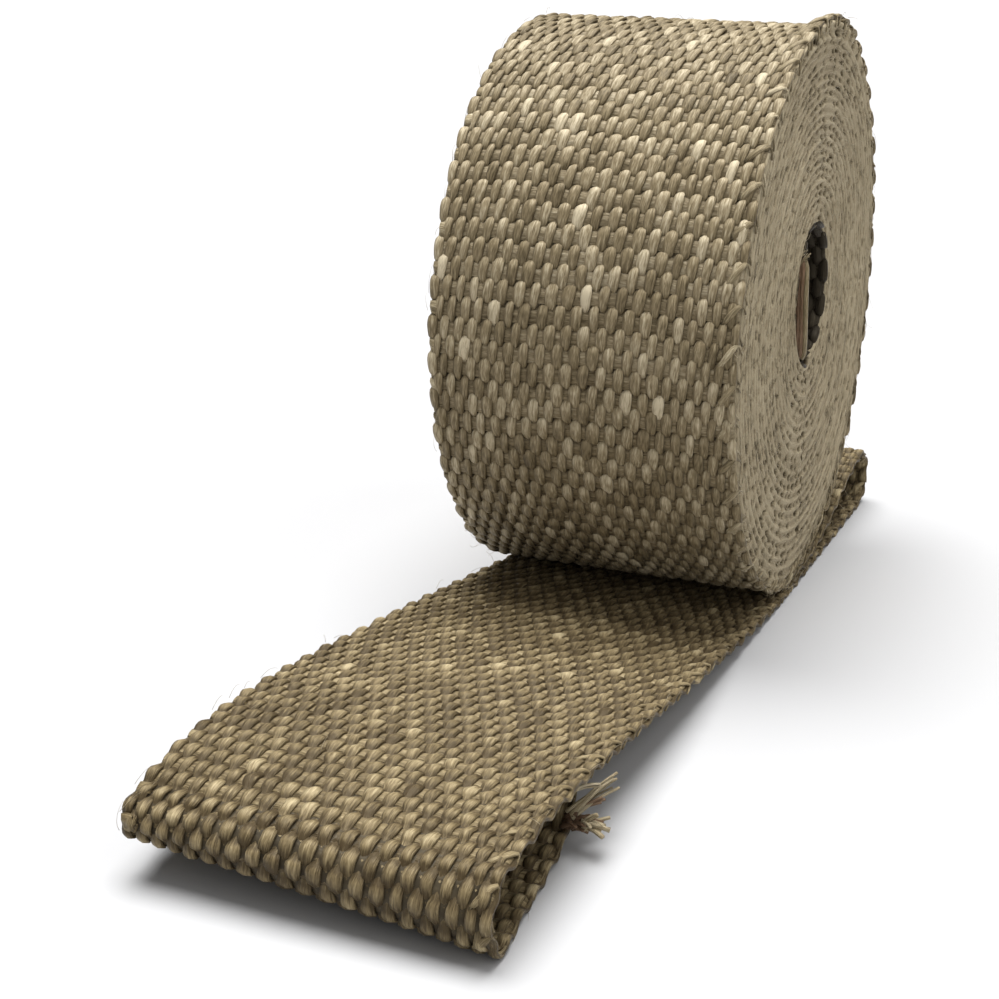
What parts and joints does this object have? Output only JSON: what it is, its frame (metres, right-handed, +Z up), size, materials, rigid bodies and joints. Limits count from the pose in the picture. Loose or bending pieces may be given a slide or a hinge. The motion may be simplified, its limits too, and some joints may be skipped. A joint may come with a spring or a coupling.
{
  "type": "exhaust heat wrap roll",
  "caption": "Roll of woven mineral-fibre exhaust heat wrap standing on its own loose outer stretch, with a slack fold behind and a folded free end in front.",
  "frame": {"origin": "on the floor, on the underside of the bottom layer, under the roll's axis and at the middle of the tape's width", "axes": "+X along the roll's axis, +Z up, and -Y towards the folded free end"},
  "size_m": [0.05, 0.1984, 0.0964],
  "materials": {
    "woven_fibre": "coarse plain weave of mineral-fibre yarns with a dull sheen"
  },
  "bodies": {
    "root": {"heat_wrap_tape": "woven_fibre"}
  },
  "joints": []
}
